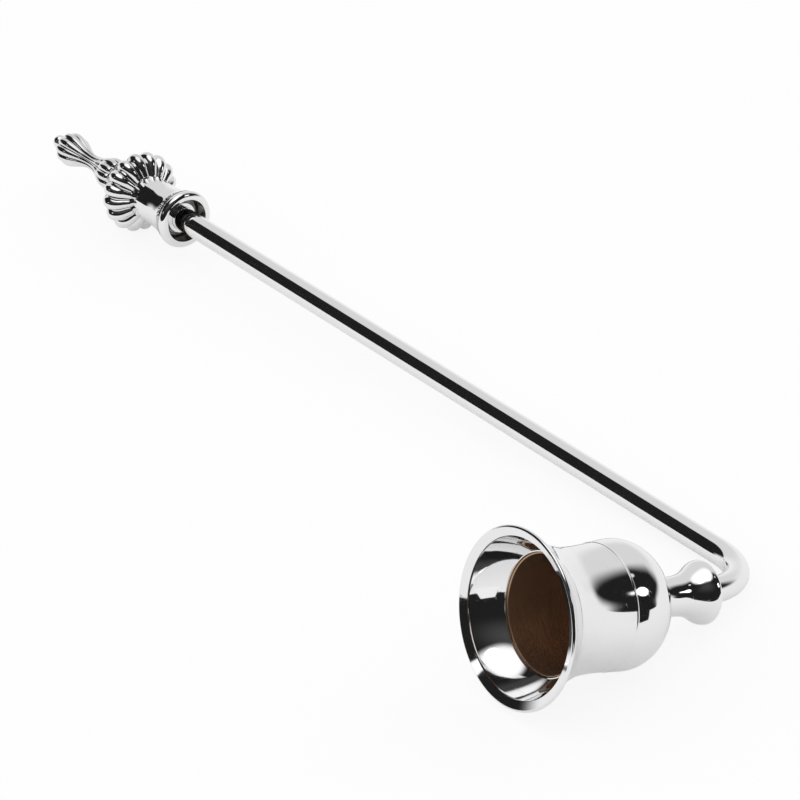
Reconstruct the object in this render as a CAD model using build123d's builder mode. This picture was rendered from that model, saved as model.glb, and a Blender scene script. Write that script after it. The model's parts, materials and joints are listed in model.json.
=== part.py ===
from build123d import *
import os
from math import asin, atan, atan2, cos, degrees, hypot, pi, radians, sin, sqrt, tan

# Candle snuffer as it lies on a table: the rod runs along X towards the handle, the bell points
# along Y with its mouth raised a little, and the table is the plane Z = 0. Lengths are millimetres.
# The corner is the point where the axes of rod and bell cross. A station is a distance from the
# corner along one of these two axes. Shares are fractions of the size that they follow, and runs
# are the straight stretches that stand for a round one, which keeps the turned pieces light.

# Rod
rod_radius = 2.75
bend_turn = 90
bend_radius = 16.5
spigot_radius = 1.9
neck_spigot_length = 3.0

# Neck of the bell
neck_gap = 0.9
neck_length = 14.1
neck_flare_radius = 6.65
neck_edge_rounding = 0.65
neck_front_runs = 2
neck_foot_radius = 4.8
neck_foot_height = 0.5
neck_socket_depth = 3.0
neck_web = 1.7
neck_station_shares = (0.149, 0.255, 0.397, 0.60, 0.87)
neck_radius_shares = (0.947, 0.812, 0.677, 0.62, 0.632)
neck_runs = 4

# Bell
bell_length = 34.1
bell_wall = 0.75
crown_land = 0.2
crown_thickness = 6.5
dome_length = 9.6
dome_runs = 4
mouth_flare = 5.9
flare_station_shares = (0.425, 0.543, 0.66, 0.762, 0.88)
flare_radius_shares = (-0.05, -0.09, -0.047, 0.121, 0.477)
flare_runs = 6
rim_rounding = 0.5
rim_start_turn = 135
rim_runs = 2
lip_width = 1.7
lip_sink = 0.7
throat_depth = 7.3
throat_step = 0.2
throat_slope = 15
throat_runs = 3

# Cup inside the bell
cup_radius = 12.2
cup_wall = 0.45
cup_recess = 0.3
cup_bevel = 3.0

# Screw and washer inside the cup
screw_radius = 1.4
screw_head_radius = 3.0
screw_head_height = 1.9
screw_head_bevel = 0.9
screw_slot_width = 0.8
screw_slot_depth = 0.9
washer_radius = 4.0
washer_thickness = 0.5

# Bush round the rod, in the middle of the recess
bush_wall = 0.9
bush_sink = 2.0
bush_length = 6.7
bush_edge = 0.25

# Collar of the handle, with its recess, its rolled flange and its trumpet
handle_start = 215.3
collar_length = 16.2
collar_radius = 5.2
recess_width = 1.4
recess_depth = 4.2
recess_bevel = 0.7
flange_width = 1.7
flange_crest = 1.2
flange_length = 2.3
flange_sink = 0.35
flange_front_runs = 3
flange_back_runs = 1
groove_width = 0.35
groove_depth = 0.3
trumpet_station_shares = (0.228, 0.383)
trumpet_radius_shares = (0.615, 0.27)
trumpet_end_share = 0.62
trumpet_runs = 4

# Knob with its lobes
knob_length = 10.5
knob_radius = 9.6
knob_boss_radius = 3.0
lobe_count = 16
lobe_valley_share = 0.89
lobe_station_shares = (0, 0.08, 0.18, 0.335, 0.45, 0.57, 0.68, 0.76, 0.79)
lobe_crest_shares = (0.552, 0.72, 0.90, 1.0, 0.97, 0.855, 0.66, 0.47, 0.375)

# Fluted spindle and the button at its tip
spindle_length = 25.6
bulb_radius = 3.95
stem_radius = 2.6
stem_length = 2.4
flute_count = 10
flute_valley_share = 0.88
flute_station_shares = (0, 0.05, 0.112, 0.19, 0.28, 0.375, 0.48, 0.60, 0.716, 0.83, 0.91, 0.97, 1)
flute_crest_shares = (0.78, 0.96, 1, 0.89, 0.67, 0.515, 0.456, 0.57, 0.81, 1, 0.95, 0.68, 0.33)
button_radius = 1.65
button_neck_radius = 1.1
button_neck_length = 0.1
button_runs = 3
button_ring_radius = 1.9
button_ring_length = 0.7
button_ring_runs = 2
button_shank_radius = 0.7
button_shank_length = 2.6

# Straight runs round one lobe of the knob or of the spindle: an even number, so that a corner lies
# on each crest
lobe_runs = 4

# Stud through the handle
stud_radius = 1.3
stud_grip_in_collar = 2.8
stud_grip_in_spindle = 7.2

# Room between pieces that slide into each other, room at the end of a blind hole, and the length
# by which a cut runs past the piece that it cuts
fit_clearance = 0.05
hole_end_room = 0.4
overrun = 1.0

# Radii that follow from the sizes above
rod_hole_radius = rod_radius + fit_clearance
spigot_hole_radius = spigot_radius + fit_clearance
screw_hole_radius = screw_radius + fit_clearance
stud_hole_radius = stud_radius + fit_clearance
shank_hole_radius = button_shank_radius + fit_clearance
bush_radius = rod_hole_radius + bush_wall
bush_hole_radius = bush_radius + fit_clearance
crown_radius = neck_foot_radius + crown_land
cup_outer_radius = cup_radius + cup_wall
bell_bore_radius = cup_outer_radius + fit_clearance
body_radius = bell_bore_radius + bell_wall
throat_radius = bell_bore_radius + throat_step
mouth_radius = throat_radius + mouth_flare
rim_ring_radius = mouth_radius - rim_rounding
lip_radius = rim_ring_radius - lip_width
recess_radius = bush_hole_radius + recess_width
flange_radius = recess_radius + flange_width
flange_foot = flange_radius - flange_sink

# Stations along the bell's axis
neck_start = bend_radius + neck_gap
rod_neck_shoulder = neck_start + neck_socket_depth
neck_spigot_hole_end = rod_neck_shoulder + neck_spigot_length + hole_end_room
neck_screw_hole_end = neck_spigot_hole_end + neck_web
screw_tip = neck_screw_hole_end + hole_end_room
bell_start = neck_start + neck_length
neck_foot_start = bell_start - neck_foot_height
dome_end = bell_start + dome_length
mouth_station = bell_start + bell_length
rim_station = mouth_station - rim_rounding
lip_station = mouth_station - lip_sink
throat_station = mouth_station - throat_depth
cup_mouth = throat_station - cup_recess
cup_seat = bell_start + crown_thickness
cup_bevel_end = cup_seat + cup_bevel
inner_bevel = cup_bevel - (2 - sqrt(2)) * cup_wall
cup_floor = cup_seat + cup_wall
screw_seat = cup_floor + washer_thickness
screw_top = screw_seat + screw_head_height

# Stations along the rod's axis
recess_floor = handle_start + recess_depth
flange_end = handle_start + flange_length
trumpet_start = flange_end + groove_width
trumpet_end = handle_start + trumpet_end_share * collar_length
bush_start = handle_start + bush_sink
rod_handle_shoulder = bush_start + bush_length
collar_end = handle_start + collar_length
stud_start = collar_end - stud_grip_in_collar
handle_spigot_length = stud_start - hole_end_room - rod_handle_shoulder
knob_end = collar_end + knob_length
bead_start = knob_end + stem_length
spindle_end = knob_end + spindle_length
flute_length = spindle_end - bead_start
ring_end = spindle_end + button_ring_length
button_root = ring_end + button_neck_length
button_centre = button_root + sqrt(button_radius**2 - button_neck_radius**2)
handle_tip = button_centre + button_radius


def arc_points(along, out, along_radius, out_radius, start, stop, runs):
    """Ends of the runs of an elliptical arc, turned from start to stop in degrees."""
    turns = [radians(start + (stop - start) * run / runs) for run in range(runs + 1)]
    return [(along + along_radius * cos(turn), out + out_radius * sin(turn)) for turn in turns]


def curve_points(curve, runs):
    """Ends of the runs of a curve, without its own two ends."""
    places = [curve @ (run / runs) for run in range(1, runs)]
    return [(place.X, place.Y) for place in places]


def lobe_outline(crest_radius, valley_share, count):
    """Points round a ring of equal round lobes, with one crest at the lowest place."""
    half_lobe = pi / count
    chord = valley_share * sin(half_lobe)
    rise = 1 - valley_share * cos(half_lobe)
    arc_radius = (chord**2 + rise**2) / (2 * rise)
    half_arc = atan2(chord, arc_radius - rise)
    points = []
    for lobe in range(count):
        for run in range(lobe_runs):
            turn = half_arc * (2 * run / lobe_runs - 1)
            along = 1 - arc_radius + arc_radius * cos(turn)
            aside = arc_radius * sin(turn)
            reach = crest_radius * hypot(along, aside)
            place = pi + 2 * half_lobe * lobe + atan2(aside, along)
            points.append((reach * cos(place), reach * sin(place)))
    return points


# Outside of the neck and of the bell, as stations and radii
neck_edge = arc_points(
    neck_start + neck_edge_rounding,
    neck_flare_radius - neck_edge_rounding,
    neck_edge_rounding,
    neck_edge_rounding,
    180,
    90,
    neck_front_runs,
)
neck_waist = Spline(
    neck_edge[-1],
    *[
        (neck_start + along * neck_length, out * neck_flare_radius)
        for along, out in zip(neck_station_shares, neck_radius_shares)
    ],
    (neck_foot_start, neck_foot_radius),
    tangents=[(1, 0), (1, 1)],
)
neck_outside = [
    *neck_edge,
    *curve_points(neck_waist, neck_runs),
    (neck_foot_start, neck_foot_radius),
    (bell_start, neck_foot_radius),
]
dome = arc_points(dome_end, crown_radius, dome_length, body_radius - crown_radius, 180, 90, dome_runs)
rim = arc_points(rim_station, rim_ring_radius, rim_rounding, rim_rounding, rim_start_turn, 0, rim_runs)
flare = Spline(
    dome[-1],
    *[
        (bell_start + along * bell_length, body_radius + out * (mouth_radius - body_radius))
        for along, out in zip(flare_station_shares, flare_radius_shares)
    ],
    rim[0],
    tangents=[(1, 0), (1, 1)],
)
bell_outside = [*dome, *curve_points(flare, flare_runs), *rim]

# The snuffer rests on the rod behind its bend, on the shoulder of the bell and on one lobe of the
# knob: the bell is raised until the last point of its outside and of its neck is off the table
knob_crest_share = lobe_station_shares[lobe_crest_shares.index(max(lobe_crest_shares))]
knob_crest_station = collar_end + knob_crest_share * knob_length
rod_pitch = atan((knob_radius - rod_radius) / (knob_crest_station - bend_radius))
corner_height = rod_radius * cos(rod_pitch) - bend_radius * sin(rod_pitch)
bell_pitch = max(
    atan2(out, along) - asin(corner_height / hypot(along, out))
    for along, out in neck_outside + bell_outside
)
bell_lean = tan(rod_pitch) * sin(bell_pitch)
rod_direction = Vector(cos(rod_pitch), 0, sin(rod_pitch))
bell_direction = Vector(-bell_lean, sqrt(cos(bell_pitch) ** 2 - bell_lean**2), sin(bell_pitch))

# The origin lies on the table, in the middle of the whole snuffer
west_end = bell_direction.X * rim_station - rim_ring_radius * sqrt(1 - bell_direction.X**2) - rim_rounding
north_end = bell_direction.Y * rim_station + rim_ring_radius * sqrt(1 - bell_direction.Y**2) + rim_rounding
east_end = handle_tip * cos(rod_pitch)
corner = Vector(-(west_end + east_end) / 2, -(north_end - knob_radius) / 2, corner_height)

bend_plane = Plane(origin=corner, x_dir=rod_direction, z_dir=rod_direction.cross(bell_direction))
bell_section = Plane(origin=corner, x_dir=bell_direction, z_dir=rod_direction)
rod_section = Plane(origin=corner, x_dir=rod_direction, z_dir=Vector(0, -1, 0))
bell_axis = Axis(corner, bell_direction)
rod_axis = Axis(corner, rod_direction)


def across_bell(station):
    """Plane square to the bell's axis, facing the mouth."""
    return Plane(origin=corner + bell_direction * station, x_dir=rod_direction, z_dir=bell_direction)


def across_rod(station):
    """Plane square to the rod's axis, facing the tip of the handle, with its X upwards."""
    return Plane(origin=corner + rod_direction * station, x_dir=rod_section.y_dir, z_dir=rod_direction)


os.makedirs("parts", exist_ok=True)

# Bell: a turned shell with a solid crown, a flat-floored bore and a wide trumpet mouth
throat_heading = (cos(radians(throat_slope)), sin(radians(throat_slope)))
throat = TangentArc((throat_station, throat_radius), (lip_station, lip_radius), tangent=throat_heading)
with BuildPart() as bell_shell:
    with BuildSketch(bell_section):
        with BuildLine():
            Polyline(
                (bell_start, screw_hole_radius),
                *bell_outside,
                (lip_station, lip_radius),
                *reversed(curve_points(throat, throat_runs)),
                (throat_station, throat_radius),
                (throat_station, bell_bore_radius),
                (cup_bevel_end, bell_bore_radius),
                (cup_seat, bell_bore_radius - cup_bevel),
                (cup_seat, screw_hole_radius),
                close=True,
            )
        make_face()
    revolve(axis=bell_axis)
bell_shell.part.label = "bell_shell"
export_step(bell_shell.part, "parts/bell_shell.step")

# Cup: a thin lining of the bell's bore, which the screw holds by its floor
with BuildPart() as bell_liner:
    with BuildSketch(bell_section):
        with BuildLine():
            Polyline(
                (cup_mouth, cup_radius),
                (cup_mouth, cup_outer_radius),
                (cup_bevel_end, cup_outer_radius),
                (cup_seat, cup_outer_radius - cup_bevel),
                (cup_seat, screw_hole_radius),
                (cup_floor, screw_hole_radius),
                (cup_floor, cup_radius - inner_bevel),
                (cup_floor + inner_bevel, cup_radius),
                close=True,
            )
        make_face()
    revolve(axis=bell_axis)
bell_liner.part.label = "bell_liner"
export_step(bell_liner.part, "parts/bell_liner.step")

# Washer: a flat ring between the screw's head and the floor of the cup
with BuildPart() as bell_washer:
    with BuildSketch(across_bell(cup_floor)):
        Circle(washer_radius)
        Circle(screw_hole_radius, mode=Mode.SUBTRACT)
    extrude(amount=washer_thickness)
bell_washer.part.label = "bell_washer"
export_step(bell_washer.part, "parts/bell_washer.step")

# Screw: a slotted head in the cup, and a shank that reaches through the crown into the neck
with BuildPart() as bell_screw:
    with BuildSketch(across_bell(screw_seat)):
        Circle(screw_head_radius)
    extrude(amount=screw_head_height)
    chamfer(bell_screw.faces().sort_by(bell_axis)[-1].edges(), screw_head_bevel)
    with BuildSketch(across_bell(screw_tip)):
        Circle(screw_radius)
    extrude(amount=screw_seat - screw_tip)
    with BuildSketch(across_bell(screw_top - screw_slot_depth)):
        Rectangle(2 * screw_head_radius + overrun, screw_slot_width)
    extrude(amount=screw_slot_depth, mode=Mode.SUBTRACT)
bell_screw.part.label = "bell_screw"
export_step(bell_screw.part, "parts/bell_screw.step")

# Neck: a waisted socket that stands on the crown of the bell and takes the end of the rod
with BuildPart() as bell_neck:
    with BuildSketch(bell_section):
        with BuildLine():
            Polyline(
                (neck_start, rod_hole_radius),
                *neck_outside,
                (bell_start, screw_hole_radius),
                (neck_screw_hole_end, screw_hole_radius),
                (neck_screw_hole_end, 0),
                (neck_spigot_hole_end, 0),
                (neck_spigot_hole_end, spigot_hole_radius),
                (rod_neck_shoulder, spigot_hole_radius),
                (rod_neck_shoulder, rod_hole_radius),
                close=True,
            )
        make_face()
    revolve(axis=bell_axis)
bell_neck.part.label = "bell_neck"
export_step(bell_neck.part, "parts/bell_neck.step")

# Rod: one round bar with a quarter bend, and a thinner spigot at each end
with BuildPart() as bent_rod:
    with BuildLine(bend_plane):
        Line((0, rod_neck_shoulder), (0, bend_radius))
        CenterArc((bend_radius, bend_radius), bend_radius, 180, arc_size=bend_turn)
        Line((bend_radius, 0), (rod_handle_shoulder, 0))
    with BuildSketch(across_bell(rod_neck_shoulder)):
        Circle(rod_radius)
    sweep()
    with BuildSketch(across_bell(rod_neck_shoulder)):
        Circle(spigot_radius)
    extrude(amount=neck_spigot_length)
    with BuildSketch(across_rod(rod_handle_shoulder)):
        Circle(spigot_radius)
    extrude(amount=handle_spigot_length)
bent_rod.part.label = "bent_rod"
export_step(bent_rod.part, "parts/bent_rod.step")

# Bush: a sleeve that closes the handle round the rod
with BuildPart() as rod_bush:
    with BuildSketch(across_rod(bush_start)):
        Circle(bush_radius)
        Circle(rod_hole_radius, mode=Mode.SUBTRACT)
    extrude(amount=bush_length)
    chamfer(rod_bush.faces().sort_by(rod_axis)[0].edges().sort_by(SortBy.RADIUS)[-1], bush_edge)
rod_bush.part.label = "rod_bush"
export_step(rod_bush.part, "parts/rod_bush.step")

# Collar: a trumpet with a rolled flange, a recess in front and stepped holes behind it
flange_front = arc_points(
    handle_start + flange_crest,
    flange_radius - flange_crest,
    flange_crest,
    flange_crest,
    180,
    90,
    flange_front_runs,
)
flange_back = TangentArc(flange_front[-1], (flange_end, flange_foot), tangent=(1, 0))
trumpet = Spline(
    (trumpet_start, flange_foot),
    *[
        (handle_start + along * collar_length, collar_radius + out * (flange_foot - collar_radius))
        for along, out in zip(trumpet_station_shares, trumpet_radius_shares)
    ],
    (trumpet_end, collar_radius),
)
with BuildPart() as collar_cup:
    with BuildSketch(rod_section):
        with BuildLine():
            Polyline(
                (handle_start, recess_radius),
                *flange_front,
                *curve_points(flange_back, flange_back_runs),
                (flange_end, flange_foot),
                (flange_end, flange_foot - groove_depth),
                (trumpet_start, flange_foot - groove_depth),
                (trumpet_start, flange_foot),
                *curve_points(trumpet, trumpet_runs),
                (trumpet_end, collar_radius),
                (collar_end, collar_radius),
                (collar_end, stud_hole_radius),
                (stud_start, stud_hole_radius),
                (stud_start, spigot_hole_radius),
                (rod_handle_shoulder, spigot_hole_radius),
                (rod_handle_shoulder, bush_hole_radius),
                (recess_floor, bush_hole_radius),
                (recess_floor, recess_radius - recess_bevel),
                (recess_floor - recess_bevel, recess_radius),
                close=True,
            )
        make_face()
    revolve(axis=rod_axis)
collar_cup.part.label = "collar_cup"
export_step(collar_cup.part, "parts/collar_cup.step")

# Knob: round lobes that swell out of the collar and close over a small boss
with BuildPart() as gadrooned_knob:
    for along, crest in zip(lobe_station_shares, lobe_crest_shares):
        with BuildSketch(across_rod(collar_end + along * knob_length)):
            with BuildLine():
                Polyline(*lobe_outline(crest * knob_radius, lobe_valley_share, lobe_count), close=True)
            make_face()
    loft(ruled=True)
    with BuildSketch(across_rod(knob_end)):
        Circle(knob_boss_radius)
    extrude(amount=-(1 - lobe_station_shares[-1]) * knob_length)
    with BuildSketch(across_rod(collar_end)):
        Circle(stud_hole_radius)
    extrude(amount=knob_length, mode=Mode.SUBTRACT)
gadrooned_knob.part.label = "gadrooned_knob"
export_step(gadrooned_knob.part, "parts/gadrooned_knob.step")

# Spindle: a plain stem, then a fluted bead, waist and bulb in one piece
with BuildPart() as fluted_spindle:
    for along, crest in zip(flute_station_shares, flute_crest_shares):
        with BuildSketch(across_rod(bead_start + along * flute_length)):
            with BuildLine():
                Polyline(*lobe_outline(crest * bulb_radius, flute_valley_share, flute_count), close=True)
            make_face()
    loft(ruled=True)
    with BuildSketch(across_rod(knob_end)):
        Circle(stem_radius)
    extrude(amount=stem_length)
    with BuildSketch(across_rod(knob_end)):
        Circle(stud_hole_radius)
    extrude(amount=stud_grip_in_spindle + hole_end_room, mode=Mode.SUBTRACT)
    with BuildSketch(across_rod(spindle_end)):
        Circle(shank_hole_radius)
    extrude(amount=-button_shank_length - hole_end_room, mode=Mode.SUBTRACT)
fluted_spindle.part.label = "fluted_spindle"
export_step(fluted_spindle.part, "parts/fluted_spindle.step")

# Stud: the pin inside the handle that lines up collar, knob and spindle
with BuildPart() as handle_stud:
    with BuildSketch(across_rod(stud_start)):
        Circle(stud_radius)
    extrude(amount=stud_grip_in_collar + knob_length + stud_grip_in_spindle)
handle_stud.part.label = "handle_stud"
export_step(handle_stud.part, "parts/handle_stud.step")

# Button: a ring and a small ball at the tip, on a shank that goes into the spindle
button_ring = arc_points(
    spindle_end + button_ring_length / 2,
    button_neck_radius,
    button_ring_length / 2,
    button_ring_radius - button_neck_radius,
    180,
    0,
    button_ring_runs,
)
button_ball = arc_points(
    button_centre,
    0,
    button_radius,
    button_radius,
    180 - degrees(asin(button_neck_radius / button_radius)),
    0,
    button_runs,
)
with BuildPart() as finial_button:
    with BuildSketch(rod_section):
        with BuildLine():
            Polyline(
                (spindle_end - button_shank_length, 0),
                (spindle_end - button_shank_length, button_shank_radius),
                (spindle_end, button_shank_radius),
                *button_ring,
                *button_ball,
                close=True,
            )
        make_face()
    revolve(axis=rod_axis)
finial_button.part.label = "finial_button"
export_step(finial_button.part, "parts/finial_button.step")
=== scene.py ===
import json
from math import asin, atan2, cos, dist, hypot, pi, radians, sin, sqrt

import bmesh
import bpy
import numpy as np
from bpy.props import FloatProperty, FloatVectorProperty, IntProperty, PointerProperty
from mathutils import Matrix, Quaternion, Vector


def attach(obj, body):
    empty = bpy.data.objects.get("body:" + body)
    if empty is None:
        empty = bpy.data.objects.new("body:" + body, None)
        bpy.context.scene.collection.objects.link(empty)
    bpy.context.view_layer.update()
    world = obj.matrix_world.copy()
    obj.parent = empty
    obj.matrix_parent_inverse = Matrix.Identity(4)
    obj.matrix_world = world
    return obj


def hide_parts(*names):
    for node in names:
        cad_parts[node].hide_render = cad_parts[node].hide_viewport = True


bl_info = {
    "name": "Candle snuffer",
    "version": (1, 0, 0),
    "blender": (4, 5, 0),
    "location": "3D View > Sidebar > Snuffer",
    "description": "Builds a polished candle snuffer round its frame, piece by piece",
    "category": "Add Mesh",
}

# Lengths are metres, and a station is a distance from the corner where the axes of the rod and of
# the bell cross, along one of these two axes. Shares are fractions of the size that they follow.
MM = 0.001

# Points closer than this are one point.
SAME_PLACE = MM / 1000

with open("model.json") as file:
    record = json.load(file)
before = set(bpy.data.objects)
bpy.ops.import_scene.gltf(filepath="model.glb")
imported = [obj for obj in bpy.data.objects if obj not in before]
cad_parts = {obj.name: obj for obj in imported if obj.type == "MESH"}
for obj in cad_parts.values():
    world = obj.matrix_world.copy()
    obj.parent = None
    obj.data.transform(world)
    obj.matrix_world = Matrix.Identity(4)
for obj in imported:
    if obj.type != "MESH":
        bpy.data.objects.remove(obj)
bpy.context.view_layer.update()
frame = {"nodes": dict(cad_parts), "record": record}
BORE = frame["record"]["mounts"][0]
BELL_AXIS = Vector(BORE["axis"]).normalized()
ROD_AXIS = Vector((BELL_AXIS.z, 0, -BELL_AXIS.x)).normalized()

# Outlines between the named sizes: shares along, then shares out
NECK_SHARES = (
    (0.149, 0.255, 0.397, 0.60, 0.87),
    (0.947, 0.812, 0.677, 0.62, 0.632),
)
FLARE_SHARES = (
    (0.465, 0.545, 0.625, 0.685, 0.75, 0.821, 0.89),
    (-0.088, -0.097, -0.072, -0.013, 0.11, 0.275, 0.53),
)
TRUMPET_SHARES = (
    (0.228, 0.383),
    (0.615, 0.27),
)
KNOB_SHARES = (
    (0, 0.08, 0.18, 0.335, 0.45, 0.57, 0.68, 0.76, 0.79),
    (0.552, 0.72, 0.90, 1.0, 0.97, 0.855, 0.66, 0.47, 0.375),
)
FLUTE_SHARES = (
    (0, 0.05, 0.112, 0.19, 0.28, 0.375, 0.48, 0.60, 0.716, 0.83, 0.91, 0.97, 1),
    (0.78, 0.96, 1, 0.89, 0.67, 0.515, 0.456, 0.57, 0.81, 1, 0.95, 0.68, 0.33),
)

# Lobes: their fullness across, and the lengths of their first and last round ends
LOBE_FULLNESS = 2.2
KNOB_LOBE_ENDS = (0.6 * MM, 2.2 * MM)
FLUTE_LOBE_ENDS = (1.1 * MM, 1.6 * MM)

# The step inside the lip is this many times as deep as it is wide.
LIP_STEP_STEEPNESS = 10

# Fineness of the meshes
ROUND_FACES = 192
SMALL_ROUND_FACES = 96
LOBE_FACES = 24
ARC_STEPS = 12
BALL_STEPS = 36
FLARE_STEPS = 36
DOME_STEPS = 48
BEND_STEPS = 72
CURVE_STEPS = 14
KNOB_STEPS = 16
SHARP_ANGLE = radians(28)
STEEPEST_SLOPE = radians(80)

# A long straight stretch of an outline gets a point this close to each of its ends, so that the
# shading stays flat up to the edge.
GUARD = 0.05 * MM
GUARDED_SPAN = 8 * GUARD


def length(name, description, millimetres):
    """A size property in metres, given in millimetres."""
    return FloatProperty(
        name=name,
        description=description,
        default=millimetres * MM,
        min=0,
        precision=5,
        subtype="DISTANCE",
        unit="LENGTH",
    )


def slope(name, description, degrees):
    """A slope property, given in degrees. It stays well short of upright."""
    return FloatProperty(
        name=name,
        description=description,
        default=radians(degrees),
        min=0,
        max=STEEPEST_SLOPE,
        subtype="ANGLE",
        unit="ROTATION",
    )


def share(name, description, default):
    """A property that is a fraction of a size."""
    return FloatProperty(name=name, description=description, default=default, min=0, max=1, subtype="FACTOR")


def colour(name, description, default):
    """A colour property, in linear light."""
    return FloatVectorProperty(
        name=name, description=description, default=default, size=3, min=0, max=1, subtype="COLOR"
    )


class SnufferRodSizes(bpy.types.PropertyGroup):
    """Sizes of the bent rod."""

    radius: length("Radius", "Half the thickness of the rod", 2.75)
    bend_radius: length("Bend radius", "Radius of the bend, at the middle of the rod", 16.5)
    spigot_radius: length("Spigot radius", "Radius of the thin ends inside neck and handle", 1.9)
    neck_spigot: length("Neck spigot", "Length of the thin end inside the neck", 3.0)
    handle_spigot: length("Handle spigot", "Length of the thin end inside the handle", 4.3)


class SnufferNeckSizes(bpy.types.PropertyGroup):
    """Sizes of the waisted neck between the rod and the bell."""

    gap: length("Gap", "From the end of the rod's bend to the neck", 0.9)
    length: length("Length", "Length of the neck", 14.1)
    flare_radius: length("Flare radius", "Radius of the wide end round the rod", 6.65)
    edge_rounding: length("Edge rounding", "Rounding of the wide end", 0.65)
    foot_radius: length("Foot radius", "Radius where the neck stands on the bell", 4.8)
    foot_height: length("Foot height", "Height of the straight foot", 0.5)
    socket_depth: length("Socket depth", "Depth of the wide hole for the rod", 3.0)
    web: length("Web", "Metal between the rod's hole and the screw's hole", 1.7)


class SnufferBellSizes(bpy.types.PropertyGroup):
    """Sizes of the bell."""

    length: length("Length", "From the crown to the mouth", 34.1)
    crown_radius: length("Crown radius", "Radius of the flat crown", 5.0)
    crown_thickness: length("Crown thickness", "Metal behind the cup", 6.5)
    dome_length: length("Dome length", "From the crown to the dome's widest place", 8.9)
    dome_fullness: FloatProperty(
        name="Dome fullness",
        description="How full the dome's shoulder is: 2 is an ellipse",
        default=1.8,
        min=1,
        max=4,
    )
    seam_place: length("Seam place", "From the crown to the seam round the bell", 13.2)
    seam_radius: length("Seam radius", "Radius of the bell at the seam", 13.1)
    seam_width: length("Seam width", "Width of the seam's bead", 0.55)
    seam_height: length("Seam height", "Height of the seam's bead", 0.13)
    body_radius: length("Body radius", "Outer radius at the end of the dome", 13.45)
    mouth_radius: length("Mouth radius", "Outer radius of the rim", 18.8)
    rim_rounding: length("Rim rounding", "Rounding of the outer edge of the rim", 0.5)
    lip_width: length("Lip width", "Width of the flat ring inside the rim", 1.7)
    lip_sink: length("Lip sink", "How far the ring's inner edge lies inside the mouth", 0.7)
    lip_step: length("Lip step", "Height of the step between the ring and the flare inside", 0.3)
    throat_depth: length("Throat depth", "From the mouth to the end of the flare inside", 7.3)
    throat_step: length("Throat step", "Ledge between the flare and the bore", 0.2)
    throat_slope: slope("Throat slope", "Slope of the flare inside where it starts", 42)
    lip_slope: slope("Lip slope", "Slope of the flare inside where it ends at the lip", 20)


class SnufferCupSizes(bpy.types.PropertyGroup):
    """Sizes of the cup in the bell and of its screw."""

    radius: length("Radius", "Inner radius of the cup", BORE["dims"]["r_mm"])
    wall: length("Wall", "Thickness of the cup", 0.45)
    recess: length("Recess", "How far the cup's edge lies behind the throat", 0.3)
    bevel: length("Bevel", "Bevel of the cup's floor", 3.0)
    fit: length("Fit", "Room between the cup and the bell", 0.05)
    screw_radius: length("Screw radius", "Radius of the screw's shank", 1.4)
    head_radius: length("Head radius", "Radius of the screw's head", 3.0)
    head_height: length("Head height", "Height of the screw's head", 1.9)
    head_bevel: length("Head bevel", "Rounding of the screw's head", 0.9)
    slot_width: length("Slot width", "Width of the slot in the screw's head", 0.8)
    slot_depth: length("Slot depth", "Depth of the slot in the screw's head", 0.9)
    washer_radius: length("Washer radius", "Radius of the washer", 4.0)
    washer_thickness: length("Washer thickness", "Thickness of the washer", 0.5)


class SnufferCollarSizes(bpy.types.PropertyGroup):
    """Sizes of the handle's collar and of the bush in it."""

    start: length("Start", "Station of the collar's front", 215.3)
    length: length("Length", "Length of the collar", 16.2)
    radius: length("Radius", "Radius of the plain end", 5.2)
    recess_width: length("Recess width", "Width of the recess round the bush", 1.4)
    recess_depth: length("Recess depth", "Depth of the recess", 4.2)
    recess_bevel: length("Recess bevel", "Rounding of the recess's floor", 0.7)
    flange_width: length("Flange width", "From the recess to the flange's outside", 1.7)
    flange_crest: length("Flange crest", "From the front to the widest place", 1.2)
    flange_length: length("Flange length", "Length of the rolled flange", 2.3)
    flange_sink: length("Flange sink", "How far the flange's back is drawn in", 0.35)
    groove_width: length("Groove width", "Width of the groove behind the flange", 0.35)
    groove_depth: length("Groove depth", "Depth of the groove behind the flange", 0.3)
    trumpet_share: share("Trumpet share", "Share of the collar that flares", 0.62)
    bush_wall: length("Bush wall", "Thickness of the bush", 0.9)
    bush_sink: length("Bush sink", "How far the bush lies inside the front", 2.0)
    bush_length: length("Bush length", "Length of the bush", 6.7)
    bush_edge: length("Bush edge", "Rounding of the bush's edge", 0.25)
    fit: length("Fit", "Room round the rod and the bush", 0.05)


class SnufferKnobSizes(bpy.types.PropertyGroup):
    """Sizes of the lobed knob."""

    length: length("Length", "Length of the knob", 10.5)
    radius: length("Radius", "Radius over the crests of the lobes", 9.6)
    boss_radius: length("Boss radius", "Radius of the boss behind the lobes", 3.0)
    valley_share: share("Valley share", "Radius of the valleys, as a share of the crests", 0.87)
    lobes: IntProperty(name="Lobes", description="Number of lobes round the knob", default=16, min=3)
    bore_radius: length("Bore radius", "Radius of the hole for the stud", 1.35)


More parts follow.
